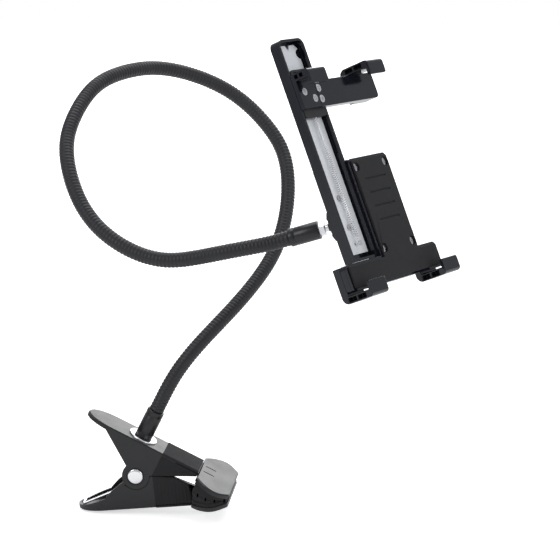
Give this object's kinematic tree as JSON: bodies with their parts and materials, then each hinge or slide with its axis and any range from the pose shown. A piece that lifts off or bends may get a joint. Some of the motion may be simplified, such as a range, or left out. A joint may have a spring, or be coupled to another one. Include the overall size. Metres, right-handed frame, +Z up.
{
  "type": "flexible clamp tablet holder",
  "caption": "Spring clamp with a ribbed gooseneck and a ball-jointed holder whose sliding upper claws grip a tablet.",
  "frame": {"origin": "middle of the jaw pads' meeting plane, where the clamp bites a table edge", "axes": "+Z up, +X along the clamp towards its jaws, +Y along the clamp's pivot, away from the picture's viewer"},
  "size_m": [0.2663, 0.2499, 0.3282],
  "materials": {
    "clamp_plastic": "satin",
    "gloss_black": "gloss",
    "soft_rubber": "matte",
    "sleeve_vinyl": "satin",
    "bright_metal": "polished",
    "spring_steel": "satin",
    "nylon": "matte"
  },
  "bodies": {
    "clamp_upper": {"upper_lever": "clamp_plastic", "upper_jaw_pad": "soft_rubber", "upper_arm_sleeve": "soft_rubber", "pivot_pin": "bright_metal", "pivot_cap_front": "bright_metal", "pivot_cap_rear": "bright_metal", "spring_bush": "nylon", "torsion_spring": "spring_steel", "neck_washer": "bright_metal", "base_collar": "clamp_plastic", "neck_screw": "spring_steel", "neck_root_sleeve": "sleeve_vinyl", "neck_root_core": "spring_steel", "base_bend_sleeve": "sleeve_vinyl", "base_bend_core": "spring_steel"},
    "clamp_lower": {"lower_lever": "clamp_plastic", "lower_jaw_pad": "soft_rubber", "lower_arm_sleeve": "soft_rubber"},
    "neck_low": {"neck_lower_sleeve": "sleeve_vinyl", "neck_lower_core": "spring_steel", "sway_bend_sleeve": "sleeve_vinyl", "sway_bend_core": "spring_steel"},
    "neck_back": {"neck_rise_sleeve": "sleeve_vinyl", "neck_rise_core": "spring_steel", "loop_bend_sleeve": "sleeve_vinyl", "loop_bend_core": "spring_steel"},
    "neck_front": {"neck_loop_sleeve": "sleeve_vinyl", "neck_loop_core": "spring_steel", "head_bend_sleeve": "sleeve_vinyl", "head_bend_core": "spring_steel"},
    "neck_end": {"neck_tip_sleeve": "sleeve_vinyl", "neck_tip_core": "spring_steel", "end_collar": "clamp_plastic", "ball_stud": "spring_steel", "stud_lock_nut": "spring_steel"},
    "ball_core": {"ball": "gloss_black"},
    "ball_seat": {"socket_liner": "nylon"},
    "holder": {"rear_housing": "gloss_black", "front_cover": "gloss_black", "grip_pad": "soft_rubber", "slide_track": "gloss_black", "guide_plate": "bright_metal", "spring_post": "spring_steel", "return_spring": "spring_steel", "lower_left_claw": "gloss_black", "lower_right_claw": "gloss_black", "lower_claw_pads": "soft_rubber", "lower_claw_screws": "spring_steel", "cover_screws": "spring_steel", "track_screws": "spring_steel"},
    "lock_ring": {"socket_ring_nut": "clamp_plastic"},
    "upper_jaw": {"slide_carriage": "clamp_plastic", "upper_bar": "gloss_black", "upper_left_claw": "gloss_black", "upper_right_claw": "gloss_black", "upper_claw_pads": "soft_rubber", "upper_grip_screws": "spring_steel"}
  },
  "joints": [
    {"name": "jaw_open", "type": "hinge", "parent": "clamp_upper", "child": "clamp_lower", "pos_m": [-0.05218, 0, 0.00929], "axis": [0, 1, 0], "range_deg": [0, 50], "stiffness_Nm_per_rad": 0.4, "springref_deg": -45.84, "deforming": ["torsion_spring"]},
    {"name": "neck_base_bend", "type": "hinge", "parent": "clamp_upper", "child": "neck_low", "pos_m": [-0.01744, 0.0114, 0.08889], "axis": [-0.3002, 0.8852, -0.3554], "range_deg": [-25, 25], "deforming": ["base_bend_sleeve", "base_bend_core"]},
    {"name": "neck_sway_bend", "type": "hinge", "parent": "neck_low", "child": "neck_back", "pos_m": [0.02602, 0.06225, 0.13582], "axis": [-0.8514, 0.5246, 0], "range_deg": [-20, 20], "deforming": ["sway_bend_sleeve", "sway_bend_core"]},
    {"name": "neck_loop_bend", "type": "hinge", "parent": "neck_back", "child": "neck_front", "pos_m": [-0.06367, 0.08237, 0.27148], "axis": [-0.0144, -0.0192, 0.9997], "range_deg": [-15, 15], "deforming": ["loop_bend_sleeve", "loop_bend_core"]},
    {"name": "neck_head_bend", "type": "hinge", "parent": "neck_front", "child": "neck_end", "pos_m": [0.02759, -0.04634, 0.17525], "axis": [-0.1139, 0.9935, 0], "range_deg": [-20, 20], "deforming": ["head_bend_sleeve", "head_bend_core"]},
    {"name": "ball_spin", "type": "hinge", "parent": "neck_end", "child": "ball_core", "pos_m": [0.09389, -0.04727, 0.19445], "axis": [0.9519, -0.0499, 0.3024], "continuous": true},
    {"name": "ball_tilt", "type": "hinge", "parent": "ball_core", "child": "ball_seat", "pos_m": [0.09389, -0.04727, 0.19445], "axis": [-0.2627, 0.3753, 0.8889], "range_deg": [-4, 44]},
    {"name": "ball_roll", "type": "hinge", "parent": "ball_seat", "child": "holder", "pos_m": [0.09389, -0.04727, 0.19445], "axis": [-0.8057, 0.4216, -0.4161], "continuous": true},
    {"name": "ring_nut_turn", "type": "hinge", "parent": "holder", "child": "lock_ring", "pos_m": [0.09389, -0.04727, 0.19445], "axis": [-0.8057, 0.4216, -0.4161], "range_deg": [-10, 350]},
    {"name": "upper_jaw_slide", "type": "slide", "parent": "holder", "child": "upper_jaw", "axis": [-0.3534, 0.2217, 0.9088], "range_m": [-0.028, 0.017], "stiffness_N_per_m": 40, "springref_m": -0.035, "deforming": ["return_spring"]}
  ]
}
